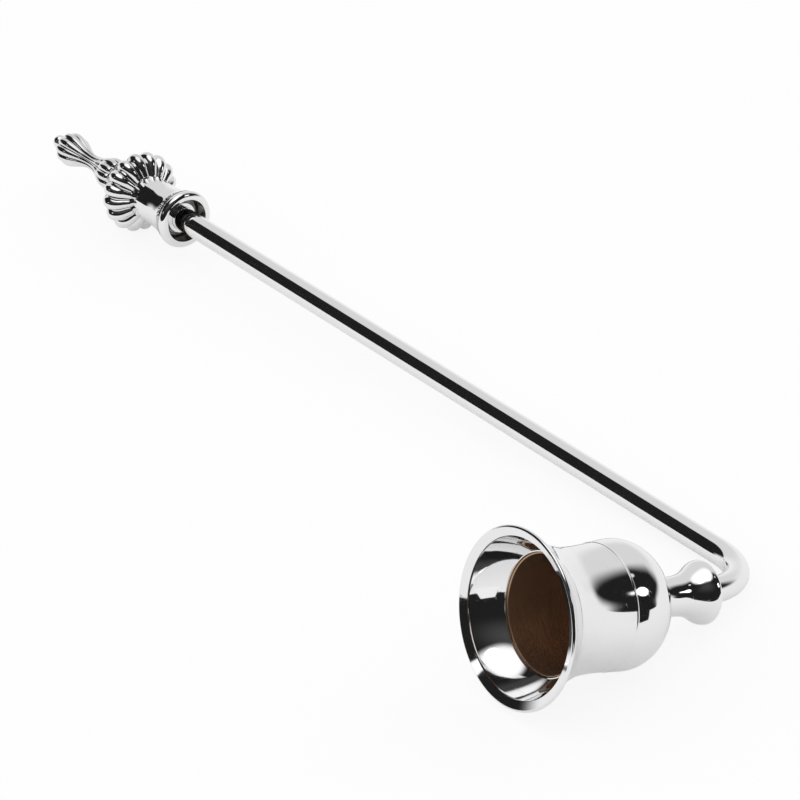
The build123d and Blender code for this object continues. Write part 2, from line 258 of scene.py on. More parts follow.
class SnufferSpindleSizes(bpy.types.PropertyGroup):
    """Sizes of the fluted spindle and of the button at its tip."""

    length: length("Length", "Length of the spindle", 25.6)
    bulb_radius: length("Bulb radius", "Radius over the crests of bead and bulb", 3.95)
    stem_radius: length("Stem radius", "Radius of the plain stem", 2.6)
    stem_length: length("Stem length", "Length of the plain stem", 2.4)
    valley_share: share("Valley share", "Radius of the valleys, as a share of the crests", 0.86)
    flutes: IntProperty(name="Flutes", description="Number of lobes round the spindle", default=10, min=3)
    button_radius: length("Button radius", "Radius of the ball at the tip", 1.65)
    button_neck_radius: length("Button neck radius", "Radius between the ball and its ring", 1.1)
    button_neck_length: length("Button neck length", "Length between the ball and its ring", 0.1)
    ring_radius: length("Ring radius", "Radius of the button's ring", 1.9)
    ring_length: length("Ring length", "Length of the button's ring", 0.7)
    shank_radius: length("Shank radius", "Radius of the button's shank", 0.7)
    shank_length: length("Shank length", "Length of the button's shank", 2.6)


class SnufferFinish(bpy.types.PropertyGroup):
    """Colours of the snuffer and of the floor."""

    silver: colour("Silver", "Colour of the polished silver", (0.86, 0.86, 0.865))
    # The shade colour also serves as painted shade in the hollows of the knob, the spindle and the collar.
    shade: colour("Shade", "Colour of the dull film in hollows", (0.16, 0.145, 0.13))
    bronze: colour("Bronze", "Colour of the cup in the bell", (0.50, 0.33, 0.215))
    soot: colour("Soot", "Colour of the cup where smoke has dulled it", (0.36, 0.24, 0.16))
    steel: colour("Steel", "Colour of the screw and the washer", (0.55, 0.54, 0.52))
    floor: colour("Floor", "Colour of the floor", (0.93, 0.93, 0.93))


def arc(centre, reach, start, stop, steps=ARC_STEPS):
    """Points of an elliptical arc, turned from start to stop in degrees."""
    turns = [radians(start + (stop - start) * step / steps) for step in range(steps + 1)]
    return [(centre[0] + reach[0] * cos(turn), centre[1] + reach[1] * sin(turn)) for turn in turns]


def tangent_arc(first, last):
    """Points of the arc that leaves the first point along the axis and ends at the last."""
    along = last[0] - first[0]
    out = last[1] - first[1]
    whole = 2 * atan2(out, along)
    radius = hypot(along, out) / (2 * sin(whole / 2))
    turns = [whole * step / ARC_STEPS for step in range(ARC_STEPS + 1)]
    return [(first[0] + radius * sin(turn), first[1] + radius * (1 - cos(turn))) for turn in turns]


def smooth_curve(points, first_heading=None, last_heading=None, steps=CURVE_STEPS):
    """Points along a smooth curve through some points. Its ends may be given a heading."""
    places = np.array(points)
    gaps = np.linalg.norm(np.diff(places, axis=0), axis=1)
    count = len(points)
    system = np.zeros((count, count))
    result = np.zeros((count, 2))
    for row in range(1, count - 1):
        before, after = gaps[row - 1], gaps[row]
        system[row, row - 1 : row + 2] = after, 2 * (before + after), before
        pull = after / before * (places[row] - places[row - 1])
        push = before / after * (places[row + 1] - places[row])
        result[row] = 3 * (pull + push)
    for row, other, heading in ((0, 1, first_heading), (count - 1, count - 2, last_heading)):
        if heading:
            system[row, row] = 1
            result[row] = np.array(heading) / hypot(*heading)
        else:
            low = min(row, other)
            system[row, row], system[row, other] = 2, 1
            result[row] = 3 * (places[low + 1] - places[low]) / gaps[low]
    slopes = np.linalg.solve(system, result)
    curve = [tuple(places[0].tolist())]
    for span, gap in enumerate(gaps):
        for step in range(1, steps + 1):
            t = step / steps
            place = (
                (2 * t**3 - 3 * t**2 + 1) * places[span]
                + (t**3 - 2 * t**2 + t) * gap * slopes[span]
                + (3 * t**2 - 2 * t**3) * places[span + 1]
                + (t**3 - t**2) * gap * slopes[span + 1]
            )
            curve.append(tuple(place.tolist()))
    return curve


def spread(shares, start, span, reach, base=0.0):
    """Outline points from shares: along a span from its start, and out over a reach from a base."""
    return [(start + along * span, base + out * reach) for along, out in zip(*shares)]


def joined(*stretches):
    """One outline from several stretches, without the points that two of them share."""
    outline = []
    for stretch in stretches:
        for point in stretch:
            if not outline or dist(point, outline[-1]) > SAME_PLACE:
                outline.append(point)
    return outline


def guarded(outline):
    """The outline with a guard point close to each end of its long straight stretches."""
    points = [outline[0]]
    for start, stop in zip(outline, outline[1:]):
        span = dist(start, stop)
        if span > GUARDED_SPAN:
            for part in (GUARD / span, 1 - GUARD / span):
                points.append(tuple(low + part * (high - low) for low, high in zip(start, stop)))
        points.append(stop)
    return points


def node_reach(node, direction):
    """How far a node's points reach along a direction."""
    return max(vertex.co.dot(direction) for vertex in frame["nodes"][node].data.vertices)


class Places:
    """The corner of the snuffer and the stations where its pieces start and end."""

    def __init__(self, scene):
        rod, neck, bell = scene.snuffer_rod, scene.snuffer_neck, scene.snuffer_bell
        collar, knob, spindle = scene.snuffer_collar, scene.snuffer_knob, scene.snuffer_spindle
        self.neck_start = rod.bend_radius + neck.gap
        self.bell_start = self.neck_start + neck.length
        self.mouth = self.bell_start + bell.length
        self.neck_shoulder = self.neck_start + neck.socket_depth
        self.throat = self.mouth - bell.throat_depth
        self.cup_seat = self.bell_start + bell.crown_thickness
        self.cup_floor = self.cup_seat + scene.snuffer_cup.wall
        self.bush_start = collar.start + collar.bush_sink
        self.rod_shoulder = self.bush_start + collar.bush_length
        self.collar_end = collar.start + collar.length
        self.knob_end = self.collar_end + knob.length
        self.spindle_end = self.knob_end + spindle.length
        bore = Vector(BORE["pos_m"])
        mouth_reach = node_reach("bell_shell", BELL_AXIS)
        self.corner = bore + BELL_AXIS * (mouth_reach - self.mouth - bore.dot(BELL_AXIS))

    def along(self, axis):
        """Placement whose X runs along an axis from the corner, and whose Z points as high as it can."""
        side = Vector((0, 0, 1)).cross(axis).normalized()
        turn = Matrix((axis, side, axis.cross(side))).transposed()
        return Matrix.Translation(self.corner) @ turn.to_4x4()


def linked(name, data):
    """A new object of a mesh or a camera, linked to the scene."""
    made = bpy.data.objects.new(name, data)
    bpy.context.scene.collection.objects.link(made)
    return made


def modified_mesh(carrier):
    """The plain mesh of an object as its modifiers leave it."""
    graph = bpy.context.evaluated_depsgraph_get()
    return bpy.data.meshes.new_from_object(carrier.evaluated_get(graph), depsgraph=graph)


def finished(mesh, name, node, metal):
    """The object of a finished mesh: closed, shaded, painted, and standing for its node."""
    work = bmesh.new()
    work.from_mesh(mesh)
    bmesh.ops.remove_doubles(work, verts=work.verts, dist=SAME_PLACE / 10)
    bmesh.ops.recalc_face_normals(work, faces=work.faces)
    work.to_mesh(mesh)
    work.free()
    mesh.shade_smooth()
    mesh.set_sharp_from_angle(angle=SHARP_ANGLE)
    mesh.materials.clear()
    mesh.materials.append(metal)
    mesh.name = name
    piece = linked(name, mesh)
    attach(piece, "root")
    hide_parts(node)
    return piece


def ringed_mesh(rings, faces_round, closed):
    """A mesh of rings joined one to the next. A ring is a centre, two directions and a radius."""
    points = []
    starts = []
    for centre, across, up, radius in rings:
        starts.append(len(points))
        if radius < SAME_PLACE:
            points.append(centre)
            continue
        for step in range(faces_round):
            turn = 2 * pi * step / faces_round
            points.append(centre + radius * (cos(turn) * across + sin(turn) * up))
    faces = []
    pairs = [(ring, ring + 1) for ring in range(len(rings) - 1)]
    if closed:
        pairs.append((len(rings) - 1, 0))
    for first, second in pairs:
        low, high = starts[first], starts[second]
        low_tip, high_tip = (rings[ring][3] < SAME_PLACE for ring in (first, second))
        if low_tip and high_tip:
            continue
        for step in range(faces_round):
            after = (step + 1) % faces_round
            if low_tip:
                faces.append((low, high + after, high + step))
            elif high_tip:
                faces.append((low + step, low + after, high))
            else:
                faces.append((low + step, low + after, high + after, high + step))
    mesh = bpy.data.meshes.new("rings")
    mesh.from_pydata(points, [], faces)
    return mesh


def turned_mesh(outline, place, faces_round=ROUND_FACES, closed=True):
    """A mesh turned from an outline of stations and radii round the X axis of a placement."""
    points = guarded([*outline, outline[0]])[:-1] if closed else guarded(outline)
    axis = place.col[0].xyz
    across = place.col[1].xyz
    up = place.col[2].xyz
    origin = place.translation
    rings = [(origin + axis * station, across, up, radius) for station, radius in points]
    return ringed_mesh(rings, faces_round, closed)


def neck_outline(scene, places):
    """Outside of the neck, from the rod to the bell."""
    neck = scene.snuffer_neck
    rounding = neck.edge_rounding
    edge = arc((places.neck_start + rounding, neck.flare_radius - rounding), (rounding, rounding), 180, 90)
    foot = (places.bell_start - neck.foot_height, neck.foot_radius)
    waist = spread(NECK_SHARES, places.neck_start, neck.length, neck.flare_radius)
    curve = smooth_curve([edge[-1], *waist, foot], (1, 0), (1, 1))
    return joined(edge, curve, [(places.bell_start, neck.foot_radius)])


def bell_outline(scene, places):
    """Outside of the bell, from its crown to its rim."""
    bell = scene.snuffer_bell
    dome_end = places.bell_start + bell.dome_length
    dome_rise = bell.body_radius - bell.crown_radius
    power = 2 / bell.dome_fullness
    dome = [
        (
            dome_end - bell.dome_length * cos(turn) ** power,
            bell.crown_radius + dome_rise * sin(turn) ** power,
        )
        for turn in (pi / 2 * step / DOME_STEPS for step in range(DOME_STEPS + 1))
    ]
    seam = places.bell_start + bell.seam_place
    shoulder = tangent_arc(dome[-1], (seam - bell.seam_width / 2, bell.seam_radius))
    bead = arc((seam, bell.seam_radius), (bell.seam_width / 2, bell.seam_height), 180, 0)
    rounding = bell.rim_rounding
    rim = arc((places.mouth - rounding, bell.mouth_radius - rounding), (rounding, rounding), 135, 0)
    reach = bell.mouth_radius - bell.body_radius
    flare = spread(FLARE_SHARES, places.bell_start, bell.length, reach, bell.body_radius)
    curve = smooth_curve([bead[-1], *flare, rim[0]], None, (1, 1))
    return joined(dome, shoulder, bead, curve, rim)


def make_bell(scene):
    """The bell's shell."""
    bell, cup = scene.snuffer_bell, scene.snuffer_cup
    places = Places(scene)
    bore = cup.radius + cup.wall + cup.fit
    hole = cup.screw_radius + cup.fit
    lip = (places.mouth - bell.lip_sink, bell.mouth_radius - bell.rim_rounding - bell.lip_width)
    step = (lip[0] - bell.lip_step, lip[1] - bell.lip_step / LIP_STEP_STEEPNESS)
    flare = smooth_curve(
        [(places.throat, bore + bell.throat_step), step],
        (cos(bell.throat_slope), sin(bell.throat_slope)),
        (cos(bell.lip_slope), sin(bell.lip_slope)),
        FLARE_STEPS,
    )
    outline = joined(
        [(places.bell_start, hole)],
        bell_outline(scene, places),
        [lip],
        reversed(flare),
        [
            (places.throat, bore),
            (places.cup_seat + cup.bevel, bore),
            (places.cup_seat, bore - cup.bevel),
            (places.cup_seat, hole),
        ],
    )
    mesh = turned_mesh(outline, places.along(BELL_AXIS))
    finished(mesh, "bell", "bell_shell", turned_silver(scene))


def make_neck(scene):
    """The neck between the rod and the bell."""
    neck, rod, cup = scene.snuffer_neck, scene.snuffer_rod, scene.snuffer_cup
    places = Places(scene)
    rod_hole = rod.radius + cup.fit
    spigot_hole = rod.spigot_radius + cup.fit
    screw_hole = cup.screw_radius + cup.fit
    spigot_end = places.neck_shoulder + rod.neck_spigot
    outline = joined(
        [(places.neck_start, rod_hole)],
        neck_outline(scene, places),
        [
            (places.bell_start, screw_hole),
            (spigot_end + neck.web, screw_hole),
            (spigot_end + neck.web, 0),
            (spigot_end, 0),
            (spigot_end, spigot_hole),
            (places.neck_shoulder, spigot_hole),
            (places.neck_shoulder, rod_hole),
        ],
    )
    mesh = turned_mesh(outline, places.along(BELL_AXIS))
    finished(mesh, "neck", "bell_neck", turned_silver(scene))


def make_cup(scene):
    """The cup in the bell, with the washer and the screw that hold it."""
    cup = scene.snuffer_cup
    places = Places(scene)
    place = places.along(BELL_AXIS)
    outer = cup.radius + cup.wall
    hole = cup.screw_radius + cup.fit
    inner_bevel = cup.bevel - (2 - sqrt(2)) * cup.wall
    edge = cup.wall / 2
    cup_mouth = places.throat - cup.recess
    outline = joined(
        arc((cup_mouth - edge, cup.radius + edge), (edge, edge), 0, 90),
        [
            (places.cup_seat + cup.bevel, outer),
            (places.cup_seat, outer - cup.bevel),
            (places.cup_seat, hole),
            (places.cup_floor, hole),
            (places.cup_floor, cup.radius - inner_bevel),
            (places.cup_floor + inner_bevel, cup.radius),
        ],
        arc((cup_mouth - edge, cup.radius + edge), (edge, edge), -90, 0),
    )[:-1]
    mesh = turned_mesh(outline, place)
    finished(mesh, "cup", "bell_liner", bronze_metal(scene))

    washer_top = places.cup_floor + cup.washer_thickness
    rounding = cup.washer_thickness / 3
    outline = joined(
        [(places.cup_floor, hole), (places.cup_floor, cup.washer_radius)],
        arc((washer_top - rounding, cup.washer_radius - rounding), (rounding, rounding), 90, 0),
        [(washer_top, hole)],
    )
    mesh = turned_mesh(outline, place, SMALL_ROUND_FACES)
    finished(mesh, "washer", "bell_washer", steel_metal(scene))

    head_end = washer_top + cup.head_height
    bevel = cup.head_bevel
    tip = places.neck_shoulder + scene.snuffer_rod.neck_spigot + scene.snuffer_neck.web
    outline = joined(
        [(tip, 0), (tip, cup.screw_radius), (washer_top, cup.screw_radius)],
        [(washer_top, cup.head_radius)],
        arc((head_end - bevel, cup.head_radius - bevel), (bevel, bevel), 90, 0),
        [(head_end, 0)],
    )
    mesh = turned_mesh(outline, place, SMALL_ROUND_FACES, closed=False)
    screw = finished(mesh, "screw", "bell_screw", steel_metal(scene))
    cut_slot(screw, place, head_end, cup)


def cut_slot(screw, place, head_end, cup):
    """Cuts the straight slot into the screw's head."""
    work = bmesh.new()
    bmesh.ops.create_cube(work, size=1)
    sizes = Vector((2 * cup.slot_depth, 2 * cup.head_radius + cup.slot_width, cup.slot_width))
    bmesh.ops.scale(work, vec=sizes, verts=work.verts)
    bmesh.ops.translate(work, vec=Vector((head_end, 0, 0)), verts=work.verts)
    bmesh.ops.transform(work, matrix=place, verts=work.verts)
    mesh = bpy.data.meshes.new("slot")
    work.to_mesh(mesh)
    work.free()
    cutter = linked("slot", mesh)
    modifier = screw.modifiers.new("slot", "BOOLEAN")
    modifier.operation = "DIFFERENCE"
    modifier.solver = "EXACT"
    modifier.object = cutter
    cut = modified_mesh(screw)
    screw.modifiers.remove(modifier)
    bpy.data.objects.remove(cutter)
    screw.data = cut
    cut.shade_smooth()
    cut.set_sharp_from_angle(angle=SHARP_ANGLE)


def make_rod(scene):
    """The bent rod, with a thin spigot at each end."""
    rod = scene.snuffer_rod
    places = Places(scene)
    up = ROD_AXIS.cross(BELL_AXIS)
    spigot_end = places.neck_shoulder + rod.neck_spigot
    handle_end = places.rod_shoulder + rod.handle_spigot

    def straight(axis, across, *outline):
        points = guarded(outline)
        return [(places.corner + axis * station, across, up, radius) for station, radius in points]

    rings = straight(
        BELL_AXIS,
        ROD_AXIS,
        (spigot_end, 0),
        (spigot_end, rod.spigot_radius),
        (places.neck_shoulder, rod.spigot_radius),
        (places.neck_shoulder, rod.radius),
        (rod.bend_radius, rod.radius),
    )
    centre = places.corner + (ROD_AXIS + BELL_AXIS) * rod.bend_radius
    for step in range(1, BEND_STEPS):
        turn = pi / 2 * step / BEND_STEPS
        outward = -cos(turn) * ROD_AXIS - sin(turn) * BELL_AXIS
        rings.append((centre + outward * rod.bend_radius, -outward, up, rod.radius))
    rings += straight(
        ROD_AXIS,
        BELL_AXIS,
        (rod.bend_radius, rod.radius),
        (places.rod_shoulder, rod.radius),
        (places.rod_shoulder, rod.spigot_radius),
        (handle_end, rod.spigot_radius),
        (handle_end, 0),
    )
    mesh = ringed_mesh(rings, ROUND_FACES, closed=False)
    finished(mesh, "rod", "bent_rod", silver_metal(scene))


def make_collar(scene):
    """The collar of the handle and the bush that closes it round the rod."""
    collar, rod, knob = scene.snuffer_collar, scene.snuffer_rod, scene.snuffer_knob
    places = Places(scene)
    place = places.along(ROD_AXIS)
    rod_hole = rod.radius + collar.fit
    bush = rod_hole + collar.bush_wall
    recess = bush + collar.fit + collar.recess_width
    flange = recess + collar.flange_width
    foot = flange - collar.flange_sink
    crest = collar.flange_crest
    front = arc((collar.start + crest, flange - crest), (crest, crest), 180, 90)
    flange_end = collar.start + collar.flange_length
    back = tangent_arc(front[-1], (flange_end, foot))
    trumpet_start = flange_end + collar.groove_width
    waist = spread(TRUMPET_SHARES, collar.start, collar.length, foot - collar.radius, collar.radius)
    trumpet_end = (collar.start + collar.trumpet_share * collar.length, collar.radius)
    trumpet = smooth_curve([(trumpet_start, foot), *waist, trumpet_end], None, (1, 0))
    floor = collar.start + collar.recess_depth
    bevel = collar.recess_bevel
    stud_start = places.rod_shoulder + rod.handle_spigot
    outline = joined(
        [(collar.start, recess)],
        front,
        back,
        [(flange_end, foot - collar.groove_depth), (trumpet_start, foot - collar.groove_depth)],
        trumpet,
        [
            (places.collar_end, collar.radius),
            (places.collar_end, knob.bore_radius),
            (stud_start, knob.bore_radius),
            (stud_start, rod.spigot_radius + collar.fit),
            (places.rod_shoulder, rod.spigot_radius + collar.fit),
            (places.rod_shoulder, bush + collar.fit),
            (floor, bush + collar.fit),
        ],
        arc((floor - bevel, recess - bevel), (bevel, bevel), 0, 90),
    )
    mesh = turned_mesh(outline, place)
    # Painted shade in the recess round the bush.
    shade_recess(mesh, place, collar.start + crest / 2, recess + 10 * SAME_PLACE)
    finished(mesh, "collar", "collar_cup", silver_metal(scene))

    edge = collar.bush_edge
    outline = joined(
        [(places.bush_start, rod_hole)],
        arc((places.bush_start + edge, bush - edge), (edge, edge), 180, 90),
        [(places.rod_shoulder, bush), (places.rod_shoulder, rod_hole)],
    )
    mesh = turned_mesh(outline, place)
    finished(mesh, "bush", "rod_bush", silver_metal(scene))


def shade_recess(mesh, place, station, radius):
    """Marks the points past a station and within a radius with the attribute hollow, for painted shade."""
    back = place.inverted()
    spots = [back @ vertex.co for vertex in mesh.vertices]
    marks = [RECESS_SHADE if spot.x > station and hypot(spot.y, spot.z) < radius else 0 for spot in spots]
    mesh.attributes.new("hollow", "FLOAT", "POINT").data.foreach_set("value", marks)


def make_button(scene):
    """The ring and the ball at the tip of the handle."""
    spindle = scene.snuffer_spindle
    places = Places(scene)
    start = places.spindle_end
    half_ring = spindle.ring_length / 2
    neck = spindle.button_neck_radius
    ring = arc((start + half_ring, neck), (half_ring, spindle.ring_radius - neck), 180, 0)
    ball = spindle.button_radius
    centre = start + spindle.ring_length + spindle.button_neck_length + sqrt(ball**2 - neck**2)
    root = 180 - asin(neck / ball) * 180 / pi
    outline = joined(
        [(start - spindle.shank_length, 0), (start - spindle.shank_length, spindle.shank_radius)],
        [(start, spindle.shank_radius)],
        ring,
        arc((centre, 0), (ball, ball), root, 0, BALL_STEPS)[:-1],
        [(centre + ball, 0)],
    )
    mesh = turned_mesh(outline, places.along(ROD_AXIS), SMALL_ROUND_FACES, closed=False)
    finished(mesh, "button", "finial_button", silver_metal(scene))


class Wire:
    """The value at a socket. A sum on wires adds the Math nodes that work it out."""

    def __init__(self, board, socket):
        self.board = board
        self.socket = socket

    def __add__(self, other):
        return self.board.maths("ADD", self, other)

    def __radd__(self, other):
        return self.board.maths("ADD", other, self)

    def __sub__(self, other):
        return self.board.maths("SUBTRACT", self, other)

    def __rsub__(self, other):
        return self.board.maths("SUBTRACT", other, self)

    def __mul__(self, other):
        return self.board.maths("MULTIPLY", self, other)

    def __rmul__(self, other):
        return self.board.maths("MULTIPLY", other, self)

    def __truediv__(self, other):
        return self.board.maths("DIVIDE", self, other)

    def __rtruediv__(self, other):
        return self.board.maths("DIVIDE", other, self)

    def __pow__(self, other):
        return self.board.maths("POWER", self, other)


class Board:
    """A node tree while it is being wired."""

    def __init__(self, tree):
        self.tree = tree
        tree.nodes.clear()

    def node(self, kind, settings=None, **values):
        """Adds a node: its settings first, then values or wires for its sockets."""
        node = self.tree.nodes.new(kind)
        for name, setting in (settings or {}).items():
            setattr(node, name, setting)
        for name, value in values.items():
            self.feed(self.socket(node.inputs, name), value)
        return node

    @staticmethod
    def socket(sockets, name):
        """The socket whose identifier or name, written with underscores, is the one given."""
        for found in sockets:
            if found.enabled and name in (found.identifier, found.name.replace(" ", "_")):
                return found
        raise KeyError(f"no socket {name}")

    def feed(self, socket, value):
        """Sets a socket to a value or joins a wire to it."""
        if isinstance(value, Wire):
            self.tree.links.new(value.socket, socket)
        else:
            socket.default_value = value

    def out(self, node, name=None):
        """The wire at a node's output."""
        return Wire(self, self.socket(node.outputs, name) if name else node.outputs[0])

    def maths(self, operation, *values):
        """The wire of a Math node."""
        node = self.node("ShaderNodeMath", {"operation": operation})
        for socket, value in zip(node.inputs, values):
            self.feed(socket, value)
        return self.out(node)

    def noise(self, place, scale, detail):
        """The grey of a noise texture with so many lumps in a metre."""
        return self.out(self.node("ShaderNodeTexNoise", Vector=place, Scale=scale, Detail=detail), "Fac")

    def along(self, place, direction):
        """How far a place lies along a direction."""
        product = self.node("ShaderNodeVectorMath", {"operation": "DOT_PRODUCT"})
        self.feed(product.inputs[0], place)
        self.feed(product.inputs[1], direction)
        return self.out(product, "Value")

    def blend(self, part, first, second):
        """The colour that lies a part of the way from one colour to another."""
        tone = self.node(
            "ShaderNodeMix",
            {"data_type": "RGBA"},
            Factor_Float=part,
            A_Color=(*first, 1),
            B_Color=(*second, 1),
        )
        return self.out(tone, "Result_Color")

    def mixed(self, part, first, second):
        """The shader that lies a part of the way from one shader to another."""
        shader = self.node("ShaderNodeMixShader")
        for socket, value in zip(shader.inputs, (part, self.out(first), self.out(second))):
            self.feed(socket, value)
        return shader


def lobed_turning():
    """Node group that turns an outline round the X axis and raises a ring of equal lobes on it.

    The outline is a row of points, X along the axis and Y out from it. Its attribute reach tells how
    far along a lobe each point lies: 0 over its length, and up to 1 through its round ends."""
    tree = bpy.data.node_groups.new("Lobed turning", "GeometryNodeTree")
    for name, side, kind in (
        ("Outline", "INPUT", "Geometry"),
        ("Points", "INPUT", "Int"),
        ("Lobes", "INPUT", "Int"),
        ("Faces in a lobe", "INPUT", "Int"),
        ("Rise", "INPUT", "Float"),
        ("Fullness", "INPUT", "Float"),
        ("Metal", "INPUT", "Material"),
        ("Turning", "OUTPUT", "Geometry"),
    ):
        tree.interface.new_socket(name, in_out=side, socket_type=f"NodeSocket{kind}")
    board = Board(tree)
    given = board.node("NodeGroupInput")
    outline = board.out(given, "Outline")
    points = board.out(given, "Points")
    lobes = board.out(given, "Lobes")
    columns = lobes * board.out(given, "Faces_in_a_lobe") + 1
    grid = board.node("GeometryNodeMeshGrid", Size_X=1, Size_Y=1, Vertices_X=points, Vertices_Y=columns)
    position = board.out(board.node("GeometryNodeInputPosition"))

    def parted(place):
        spot = board.node("ShaderNodeSeparateXYZ", Vector=place)
        return board.out(spot, "X"), board.out(spot, "Y")

    grid_x, grid_y = parted(position)
    row = board.maths("ROUND", (grid_x + 0.5) * (points - 1))
    turn = (grid_y + 0.5) * 2 * pi

    def sampled(kind, value, index):
        settings = {"data_type": kind, "clamp": True}
        return board.out(
            board.node("GeometryNodeSampleIndex", settings, Geometry=outline, Value=value, Index=index)
        )

    here_x, here_y = parted(sampled("FLOAT_VECTOR", position, row))
    before_x, before_y = parted(sampled("FLOAT_VECTOR", position, row - 1))
    after_x, after_y = parted(sampled("FLOAT_VECTOR", position, row + 1))
    run = after_x - before_x
    climb = after_y - before_y
    stretch = board.maths("SQRT", run * run + climb * climb)
    reach_name = board.node("GeometryNodeInputNamedAttribute", {"data_type": "FLOAT"}, Name="reach")
    reach = sampled("FLOAT", board.out(reach_name, "Attribute"), row)
    aside = 2 * board.maths("FRACT", turn * lobes / (2 * pi)) - 1
    distance = board.maths("SQRT", aside * aside + reach * reach)
    dome = board.maths("MAXIMUM", 1 - distance ** board.out(given, "Fullness"), 0)
    height = dome * board.out(given, "Rise") * here_y
    station = here_x - height * climb / stretch
    radius = here_y + height * run / stretch
    around = turn + pi * (1 - 1 / lobes)
    placed = board.node(
        "ShaderNodeCombineXYZ",
        X=station,
        Y=radius * board.maths("SINE", around),
        Z=radius * board.maths("COSINE", around),
    )
    moved = board.node(
        "GeometryNodeSetPosition", Geometry=board.out(grid, "Mesh"), Position=board.out(placed)
    )
    # The attribute hollow is 1 between the lobes and where there are none; the silver paints shade by it.
    marked = board.node(
        "GeometryNodeStoreNamedAttribute",
        {"data_type": "FLOAT", "domain": "POINT"},
        Geometry=board.out(moved),
        Name="hollow",
        Value=1 - dome,
    )
    closed = board.node("GeometryNodeMergeByDistance", Geometry=board.out(marked), Distance=SAME_PLACE)
    real = board.node("GeometryNodeRealizeInstances", Geometry=board.out(closed))
    painted = board.node(
        "GeometryNodeSetMaterial", Geometry=board.out(real), Material=board.out(given, "Metal")
    )
    board.node("NodeGroupOutput", Turning=board.out(painted))
    return tree


def lobed_mesh(outline, body, lobes, valley_share, ends, metal, place):
    """The plain mesh of a turning with lobes along the body of its outline, put in its place."""
    first, last = (
        next(at for at, point in enumerate(outline) if dist(point, end) < SAME_PLACE)
        for end in (body[0], body[-1])
    )
    mesh = bpy.data.meshes.new("outline")
    edges = [(point, point + 1) for point in range(len(outline) - 1)]
    mesh.from_pydata([(station, radius, 0) for station, radius in outline], edges, [])
    reach = mesh.attributes.new("reach", "FLOAT", "POINT")
    reach.data.foreach_set("value", reach_along(outline, first, last, *ends))
    carrier = linked("outline", mesh)
    tree = lobed_turning()
    modifier = carrier.modifiers.new("lobes", "NODES")
    modifier.node_group = tree
    values = {
        "Points": len(outline),
        "Lobes": lobes,
        "Faces in a lobe": LOBE_FACES,
        "Rise": 1 / valley_share - 1,
        "Fullness": LOBE_FULLNESS,
        "Metal": metal,
    }
    for socket in tree.interface.items_tree:
        if socket.name in values:
            modifier[socket.identifier] = values[socket.name]
    made = modified_mesh(carrier)
    bpy.data.objects.remove(carrier)
    bpy.data.node_groups.remove(tree)
    made.transform(place)
    return made


def reach_along(outline, first, last, round_start, round_end):
    """How far along a lobe each outline point lies, for lobes that start and end at two points."""
    walked = [0.0]
    for start, stop in zip(outline, outline[1:]):
        walked.append(walked[-1] + dist(start, stop))
    low = walked[first] + round_start
    high = walked[last] - round_end
    reaches = []
    for point, place in enumerate(walked):
        if point < first or point > last:
            reaches.append(1.0)
        elif place < low:
            reaches.append((low - place) / round_start)
        elif place > high:
            reaches.append((place - high) / round_end)
        else:
            reaches.append(0.0)
    return reaches


def make_knob(scene):
    """The knob with its ring of round lobes."""
    knob = scene.snuffer_knob
    places = Places(scene)
    start, end = places.collar_end, places.knob_end
    core = spread(KNOB_SHARES, start, knob.length, knob.valley_share * knob.radius)
    body = smooth_curve(core, (1, 2), None, KNOB_STEPS)
    front = [(start, knob.bore_radius), (start, core[0][1])]
    back = [(core[-1][0], knob.boss_radius), (end, knob.boss_radius), (end, knob.bore_radius)]
    outline = guarded(joined(front, body, back, [(start, knob.bore_radius)]))
    metal = silver_metal(scene)
    place = places.along(ROD_AXIS)
    mesh = lobed_mesh(outline, body, knob.lobes, knob.valley_share, KNOB_LOBE_ENDS, metal, place)
    finished(mesh, "knob", "gadrooned_knob", metal)


def make_spindle(scene):
    """The spindle with its flutes between a bead and a bulb."""
    spindle = scene.snuffer_spindle
    places = Places(scene)
    start, end = places.knob_end, places.spindle_end
    bead = start + spindle.stem_length
    core = spread(FLUTE_SHARES, bead, end - bead, spindle.valley_share * spindle.bulb_radius)
    body = smooth_curve(core, (1, 3), (1, -3))
    hole = spindle.shank_radius + scene.snuffer_collar.fit
    outline = guarded(
        joined(
            [(start, hole), (start, spindle.stem_radius), (bead, spindle.stem_radius)],
            body,
            [(end, hole), (start, hole)],
        )
    )
    metal = silver_metal(scene)
    place = places.along(ROD_AXIS)
    mesh = lobed_mesh(outline, body, spindle.flutes, spindle.valley_share, FLUTE_LOBE_ENDS, metal, place)
    finished(mesh, "spindle", "fluted_spindle", metal)


# Silver: scratches, clouds and waves in a metre, what part of the noise is a scratch, how much film
# and roughness each kind of wear adds, and how much painted shade and roughness the hollows get
SILVER_GRAIN = (40, 2600, 2600)
TURNED_GRAIN = (90, 2600, 700)
SILVER_CLOUDS = 160
SILVER_WAVES = 110
WAVE_DEPTH = 0.035 * MM
SCRATCH_DEPTH_SHARE = 0.04
SCRATCH_START = 0.67
SCRATCH_GAIN = 9
SCRATCH_ROUNDING = 0.2
CLOUD_FILM = 0.05
SCRATCH_FILM = 0.06
HOLLOW_SHADE = 0.05
HOLLOW_CLOUD_SHADE = 0.25
POLISH_ROUGHNESS = 0.035
CLOUD_ROUGHNESS = 0.035
SCRATCH_ROUGHNESS = 0.2
HOLLOW_ROUGHNESS = 0.06
HOLLOW_SHARPNESS = 4

# How strongly the collar's recess is marked for painted shade, where the gap between two lobes counts 1
RECESS_SHADE = 1.5

# Bronze: turning marks and clouds of smoke in a metre, and what the smoke changes
TURNING_MARKS = 14000
TURNING_DEPTH = 0.03 * MM
SMOKE_CLOUDS = 120
SMOKE_START = 0.35
SMOKE_GAIN = 1.6
BRONZE_METALLIC = 0.85
BRONZE_ROUGHNESS = 0.14
SMOKE_ROUGHNESS = 0.14

# Steel
STEEL_GRAIN = 900
STEEL_ROUGHNESS = 0.25
GRAIN_ROUGHNESS = 0.15


